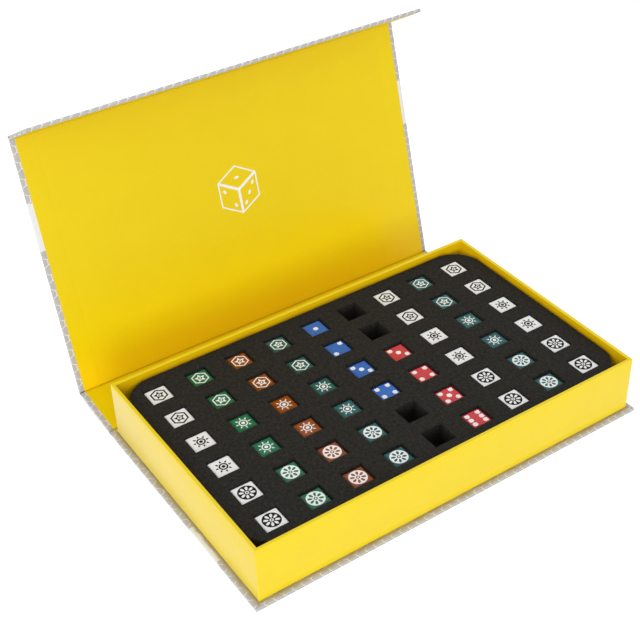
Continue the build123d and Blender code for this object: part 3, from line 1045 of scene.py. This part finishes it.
def foam_insert(foam):
    """Two laminated foam layers: rounded corners, softened cut edges and pockets down to the lower layer."""
    low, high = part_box("foam_base")[0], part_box("foam_tray")[1]
    seam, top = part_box("foam_tray")[0].z, high.z
    cuts_x, cuts_y = pocket_lines(0), pocket_lines(1)
    last_x, last_y = cuts_x[-1], cuts_y[-1]
    warp = rounded_corners(last_x, last_y)
    longest, groove, lip = 4.0 * MM, 0.5 * MM, 1 * MM
    columns = spread([low.x, *cuts_x, high.x], longest)
    lines = spread([low.y, *cuts_y, high.y], longest)
    pocket_levels = [top + (seam - top) * step / 4 for step in range(5)]
    side_levels = [top, (top + seam) / 2, seam + groove, seam, seam - groove, (seam + low.z) / 2, low.z]
    build = bmesh.new()
    points = {}

    def point(column, line, z):
        key = (column, line, round(z, 6))
        if key not in points:
            x, y = warp(columns[column], lines[line])
            if z == seam and (column in (0, len(columns) - 1) or line in (0, len(lines) - 1)):
                inward = Vector((x, y)).normalized() * foam.seam
                x, y = x - inward.x, y - inward.y
            points[key] = build.verts.new((x, y, z))
        return points[key]

    def wall(first, second, levels):
        for z, next_z in zip(levels, levels[1:]):
            corners = ((first, z), (second, z), (second, next_z), (first, next_z))
            build.faces.new([point(*corner, level) for corner, level in corners])

    def between_cuts(places, index, cuts):
        middle = (places[index] + places[index + 1]) / 2
        return any(first < middle < second for first, second in zip(cuts[::2], cuts[1::2]))

    pockets = {}
    for column in range(len(columns) - 1):
        for line in range(len(lines) - 1):
            pocket = between_cuts(columns, column, cuts_x) and between_cuts(lines, line, cuts_y)
            pockets[column, line] = pocket
    # The cell beside each side of a cell; the first of two cells puts up the wall between them
    neighbours = {1: (1, 0), 3: (-1, 0), 2: (0, 1), 0: (0, -1)}
    for (column, line), pocket in pockets.items():
        corners = ((column, line), (column + 1, line), (column + 1, line + 1), (column, line + 1))
        build.faces.new([point(*corner, seam if pocket else top) for corner in corners])
        build.faces.new([point(*corner, low.z) for corner in reversed(corners)])
        for side, (step_x, step_y) in neighbours.items():
            ends = corners[side], corners[(side + 1) % 4]
            beside = pockets.get((column + step_x, line + step_y))
            if beside is None:
                wall(*ends, side_levels)
            elif pocket != beside and side in (1, 2):
                wall(*ends, pocket_levels)
    bmesh.ops.recalc_face_normals(build, faces=build.faces)
    for outer, radius in ((True, foam.rim_radius), (False, foam.edge_radius)):
        lips = []
        for edge in build.edges:
            middle = (edge.verts[0].co + edge.verts[1].co) / 2
            outside = abs(middle.x) > last_x + lip or abs(middle.y) > last_y + lip
            if outside == outer and all(top - vertex.co.z < NEAR for vertex in edge.verts):
                if len(edge.link_faces) == 2 and min(abs(face.normal.z) for face in edge.link_faces) < 0.5:
                    lips.append(edge)
        round_off(build, lips, radius)
    noise.seed_set(WANDER_SEED)
    for vertex in build.verts:
        place = vertex.co
        if place.z > seam + 0.2 * MM:
            share = min(1.0, (place.z - seam) / (2 * MM))
            soft = noise.noise_vector(place / (5 * MM)) * foam.wander * share
            slow = noise.noise(Vector((place.x, place.y, 0)) / (17 * MM)) * foam.ripple * share
            vertex.co += Vector((soft.x, soft.y, slow))
    piece = new_piece("foam_insert", build, 50.0)
    paint(piece, foam_material(foam))
    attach(piece, "foam")
    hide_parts("foam_tray", "foam_base")


def circle(radius, count=40, start=0.0):
    return [polar(start + 2 * pi * step / count, radius) for step in range(count)]


def star(outer, inner, count):
    tips = range(2 * count)
    return [polar(pi / 2 + pi * step / count, inner if step % 2 else outer) for step in tips]


def petal(disc, angle, count=16):
    """A cut-out petal of the flower motif, pointed at both ends."""
    points = []
    for step in range(count):
        turn = 2 * pi * step / count
        out = disc * (0.58 + 0.27 * cos(turn))
        aside = disc * 0.145 * sin(turn) * (1 + 0.25 * cos(turn))
        points.append(polar(angle, out) + polar(angle + pi / 2, aside))
    return points


def ray(reach, angle, stroke):
    """A tapered ray of the sun motif."""
    foot, tip = polar(angle, reach * 0.68), polar(angle, reach)
    wide, slim = polar(angle + pi / 2, stroke * 0.75), polar(angle + pi / 2, stroke * 0.2)
    return [foot - wide, tip - slim, tip + slim, foot + wide]


def motif_loops(motif, stroke, dice):
    """Outlines of a plain motif: an outline inside another one is a hole."""
    reach, disc = dice.motif / 2, dice.disc / 2
    if motif == "star":
        loops = [circle(size, 6, pi / 6) for size in (reach, reach - stroke * 1.15)]
        loops += [star(reach * 0.64, reach * 0.33, 5), circle(reach * 0.24, 24), circle(reach * 0.11, 16)]
    elif motif == "sun":
        loops = [circle(reach * 0.50), circle(reach * 0.50 - stroke), circle(reach * 0.2, 24)]
        loops += [ray(reach * 0.88, step * pi / 4, stroke) for step in range(8)]
    else:
        loops = [circle(disc, 56)] + [petal(disc, pi / 8 + step * pi / 4) for step in range(8)]
        loops += [circle(disc * 0.22, 24), circle(disc * 0.1, 16)]
    return loops


def filled(loops, thickness, name):
    """A thin closed plate with the given outlines, its holes left open, standing on the XY plane."""
    line = bpy.data.curves.new(name, "CURVE")
    line.dimensions = "2D"
    line.fill_mode = "BOTH"
    line.extrude = thickness / 2
    for loop in loops:
        spline = line.splines.new("POLY")
        spline.points.add(len(loop) - 1)
        for place, spot in zip(spline.points, loop):
            place.co = (*spot, thickness / 2, 1.0)
        spline.use_cyclic_u = True
    holder = placed(name, line)
    ready = holder.evaluated_get(bpy.context.evaluated_depsgraph_get())
    mesh = bpy.data.meshes.new_from_object(ready)
    build = bmesh.new()
    build.from_mesh(mesh)
    bmesh.ops.remove_doubles(build, verts=build.verts, dist=1e-7)
    bpy.data.meshes.remove(mesh)
    bpy.data.objects.remove(holder)
    bpy.data.curves.remove(line)
    for vertex in build.verts:
        vertex.co.z = thickness if vertex.co.z > thickness / 2 else 0.0
    bmesh.ops.recalc_face_normals(build, faces=build.faces)
    return build


def print_places(node, dice):
    """Where each motif goes on the dice of one column."""
    first, half, pitch = dice_column(node)
    rise = Matrix.Translation((0, 0, half - dice.ink_sink))
    places = {motif: [] for motif in MOTIFS}
    for row in range(ROWS):
        middle = Matrix.Translation(first - Vector((0, row * pitch, 0)))
        for side, facing in enumerate(FACE_TURNS):
            motif = MOTIFS[(row // 2 + side) % len(MOTIFS)]
            places[motif].append(middle @ facing @ rise @ Matrix.Rotation(side * pi / 2, 4, "Z"))
    return places


def printed_dice(node, resin, dice):
    """Resin on a column of dice, and thin prints let into their faces."""
    paint(NODES[node], resin_material(resin, dice))
    ink = "black" if resin == "white" else "white"
    stroke = getattr(dice, f"{ink}_stroke")
    points, faces = [], []
    for motif, places in print_places(node, dice).items():
        template = filled(motif_loops(motif, stroke, dice), dice.ink_sink + dice.ink_rise, motif)
        template.verts.index_update()
        shape = [vertex.co.copy() for vertex in template.verts]
        outlines = [[vertex.index for vertex in face.verts] for face in template.faces]
        template.free()
        for place in places:
            faces += [[len(points) + index for index in outline] for outline in outlines]
            points += [place @ point for point in shape]
    name = node.replace("dice", "prints")
    mesh = bpy.data.meshes.new(name)
    mesh.from_pydata(points, [], faces)
    mesh.validate()
    piece = placed(name, mesh)
    paint(piece, ink_material(ink, dice))
    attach(piece, node)


def pip_die(node, kind, dice):
    """Resin on a pip die, and paint in its pips."""
    solid = NODES[node]
    low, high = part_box(node)
    middle, half = (low + high) / 2, (high.x - low.x) / 2
    flat, shallow = 0.80 * half, 0.01 * MM
    paint(solid, resin_material(kind, dice), ink_material("white", dice))
    vertices = solid.data.vertices
    for face in solid.data.polygons:
        offsets = [vertices[index].co - middle for index in face.vertices]
        centre = face.center - middle
        axis = max(range(3), key=lambda k: abs(centre[k]))
        others = [abs(offset[k]) for offset in offsets for k in range(3) if k != axis]
        deepest = max(half - abs(offset[axis]) for offset in offsets)
        face.material_index = max(others) < flat and deepest > shallow


def lid_mark(cover, dice):
    """A plain die drawn in white lines on the lid's lining."""
    top = local_box("lid_liner", "lid")[1].z - cover.lining_step
    thickness, sink = 0.05 * MM, 0.03 * MM
    reach, stroke = cover.mark_width / 2 / cos(pi / 6), cover.mark_line
    shrink = 1 - 2 * stroke / (reach * sqrt(3) / 2) * 0.62
    loops = [circle(reach, 6, pi / 2)]
    for step, pips in enumerate(MARK_PIPS):
        turn = pi / 2 + step * 2 * pi / 3
        left, right = polar(turn + pi / 3), polar(turn - pi / 3)
        middle = polar(turn, reach / 2)
        corners = (Vector((0, 0)), right * reach, polar(turn, reach), left * reach)
        loops.append([middle + (corner - middle) * shrink for corner in corners])
        for u, v in pips:
            round_pip = [spot + Vector((u, v)) * reach for spot in circle(stroke * 0.9, 24)]
            loops.append([middle + left * spot.x + right * spot.y for spot in round_pip])
    template = filled(loops, thickness, "lid_mark")
    for vertex in template.verts:
        vertex.co += Vector((0, cover.mark_height, top - sink))
    piece = new_piece("lid_mark", template, place=panel_place("lid"))
    paint(piece, ink_material("white", dice))
    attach(piece, "lid")


def lamp(name, power):
    place, size = LAMPS[name]
    light = bpy.data.lights.new(name, "AREA")
    light.shape = "SQUARE"
    light.size = size
    light.energy = power
    holder = placed(name, light)
    holder.location = place
    holder.rotation_euler = (Vector(LAMP_TARGET) - Vector(place)).to_track_quat("-Z", "Y").to_euler()


def seen_rays(graph):
    """One for what the camera sees, straight or in a mirror or glass."""
    path = graph.add("ShaderNodeLightPath").outputs
    straight = graph.math("MAXIMUM", path["Is Camera Ray"], path["Is Glossy Ray"])
    return graph.math("MAXIMUM", straight, path["Is Transmission Ray"])


def studio_world(ambient):
    """White to the camera and in reflections, and softer as light."""
    world = bpy.data.worlds.new("studio")
    world.use_nodes = True
    world.node_tree.nodes.clear()
    graph = Graph(world.node_tree)
    strength = graph.math("MULTIPLY_ADD", seen_rays(graph), 1.0 - ambient, ambient)
    light = graph.add("ShaderNodeBackground", {"Color": (1, 1, 1, 1), "Strength": strength})
    graph.add("ShaderNodeOutputWorld", {"Surface": light.outputs[0]})
    bpy.context.scene.world = world


def studio_floor(stage):
    """A matt disc that the camera sees as white apart from shadows."""
    build = bmesh.new()
    bmesh.ops.create_circle(build, cap_ends=True, segments=96, radius=FLOOR_RADIUS)
    floor = new_piece("floor", build)
    matt = Finish("floor", Roughness=0.9, Specular_IOR_Level=0.0, Emission_Color=(1, 1, 1, 1))
    lift = matt.math("MULTIPLY", seen_rays(matt), stage.floor_lift)
    matt.feed(matt.shader["Emission Strength"], lift)
    paint(floor, matt.done(stage.floor))


def studio_camera(stage):
    view = bpy.data.cameras.new("camera")
    view.lens = stage.lens
    view.sensor_width = 36.0
    view.shift_x = stage.shift_x
    view.shift_y = stage.shift_y
    view.clip_start = 0.01
    view.clip_end = 50.0
    holder = placed("camera", view)
    holder.location = stage.camera_place
    holder.rotation_euler = stage.camera_turn
    bpy.context.scene.camera = holder


class DICEBOX_OT_cover(Operator):
    """Wrap the cover's four panels in printed paper"""

    bl_idname = "dice_box.cover"
    bl_label = "Cover Panels"

    def execute(self, context):
        for panel in ("base", *FOLDED_PANELS):
            cover_panel(panel, context.scene.dice_box_cover)
        return {"FINISHED"}


class DICEBOX_OT_linings(Operator):
    """Line the spine, the lid and the flap with yellow paper"""

    bl_idname = "dice_box.linings"
    bl_label = "Linings"

    def execute(self, context):
        scene = context.scene
        for panel in FOLDED_PANELS:
            lining(panel, scene.dice_box_cover, scene.dice_box_tray)
        back_strip(scene.dice_box_cover, scene.dice_box_tray)
        return {"FINISHED"}


class DICEBOX_OT_folds(Operator):
    """Bend doubled paper round the cover's three folds"""

    bl_idname = "dice_box.folds"
    bl_label = "Paper Folds"

    def execute(self, context):
        for panel in FOLDED_PANELS:
            paper_fold(panel, context.scene.dice_box_cover, context.scene.dice_box_tray)
        return {"FINISHED"}


class DICEBOX_OT_lid_mark(Operator):
    """Print a plain die on the lid's lining"""

    bl_idname = "dice_box.lid_mark"
    bl_label = "Lid Mark"

    def execute(self, context):
        lid_mark(context.scene.dice_box_cover, context.scene.dice_box_dice)
        return {"FINISHED"}


class DICEBOX_OT_tray(Operator):
    """Wrap the tray in yellow paper, line its floor and lay the glue, dark as painted shadow, round its foot
    """

    bl_idname = "dice_box.tray"
    bl_label = "Tray"

    def execute(self, context):
        tray = context.scene.dice_box_tray
        tray_paper(tray)
        glue_shadow_line(tray)
        paint(NODES["tray_floor_liner"], tray_material(tray))
        return {"FINISHED"}


class DICEBOX_OT_boards(Operator):
    """Give the boards, magnets and keepers their materials"""

    bl_idname = "dice_box.boards"
    bl_label = "Boards and Magnets"

    def execute(self, context):
        for name, solid in NODES.items():
            if name.endswith(("_board", "_wall")) or name == "tray_floor":
                paint(solid, board_material())
        paint(NODES["flap_magnets"], metal_material("magnet_nickel", (0.62, 0.60, 0.57, 1.0), 0.18))
        paint(NODES["closure_keepers"], metal_material("keeper_plate", (0.52, 0.52, 0.53, 1.0), 0.3))
        return {"FINISHED"}


class DICEBOX_OT_foam(Operator):
    """Cut the foam insert with its pockets"""

    bl_idname = "dice_box.foam"
    bl_label = "Foam Insert"

    def execute(self, context):
        foam_insert(context.scene.dice_box_foam)
        return {"FINISHED"}


class DICEBOX_OT_printed_dice(Operator):
    """Cast the printed dice and print their faces"""

    bl_idname = "dice_box.printed_dice"
    bl_label = "Printed Dice"

    def execute(self, context):
        for node, resin in PRINTED_DICE.items():
            printed_dice(node, resin, context.scene.dice_box_dice)
        return {"FINISHED"}


class DICEBOX_OT_pip_dice(Operator):
    """Cast the pip dice and paint their pips"""

    bl_idname = "dice_box.pip_dice"
    bl_label = "Pip Dice"

    def execute(self, context):
        for kind, tops in PIP_DICE.items():
            for top in tops:
                pip_die(f"{kind}_die_{top}", kind, context.scene.dice_box_dice)
        return {"FINISHED"}


class DICEBOX_OT_stage(Operator):
    """Set up the floor, the lamps and the camera"""

    bl_idname = "dice_box.stage"
    bl_label = "Stage"

    def execute(self, context):
        stage = context.scene.dice_box_stage
        studio_world(stage.ambient)
        studio_floor(stage)
        lamp("key", stage.key_power)
        lamp("fill", stage.fill_power)
        studio_camera(stage)
        context.scene.view_settings.view_transform = "Standard"
        return {"FINISHED"}


STEPS = (
    DICEBOX_OT_cover,
    DICEBOX_OT_linings,
    DICEBOX_OT_folds,
    DICEBOX_OT_lid_mark,
    DICEBOX_OT_tray,
    DICEBOX_OT_boards,
    DICEBOX_OT_foam,
    DICEBOX_OT_printed_dice,
    DICEBOX_OT_pip_dice,
    DICEBOX_OT_stage,
)


class DICEBOX_PT_panel(Panel):
    """Steps that dress the dice box"""

    bl_idname = "DICEBOX_PT_panel"
    bl_label = "Dice Box"
    bl_space_type = "VIEW_3D"
    bl_region_type = "UI"
    bl_category = "Dice Box"

    def draw(self, context):
        for step in STEPS:
            self.layout.operator(step.bl_idname)


SETTINGS = {
    "dice_box_cover": CoverSettings,
    "dice_box_tray": TraySettings,
    "dice_box_foam": FoamSettings,
    "dice_box_dice": DiceSettings,
    "dice_box_stage": StageSettings,
}
CLASSES = (*SETTINGS.values(), *STEPS, DICEBOX_PT_panel)


def register():
    for made in CLASSES:
        bpy.utils.register_class(made)
    for name, group in SETTINGS.items():
        setattr(bpy.types.Scene, name, PointerProperty(type=group))


def unregister():
    for name in SETTINGS:
        delattr(bpy.types.Scene, name)
    for made in reversed(CLASSES):
        bpy.utils.unregister_class(made)


def main():
    register()
    bpy.ops.dice_box.cover()
    bpy.ops.dice_box.linings()
    bpy.ops.dice_box.folds()
    bpy.ops.dice_box.lid_mark()
    bpy.ops.dice_box.tray()
    bpy.ops.dice_box.boards()
    bpy.ops.dice_box.foam()
    bpy.ops.dice_box.printed_dice()
    bpy.ops.dice_box.pip_dice()
    bpy.ops.dice_box.stage()


if __name__ == "__main__":
    main()
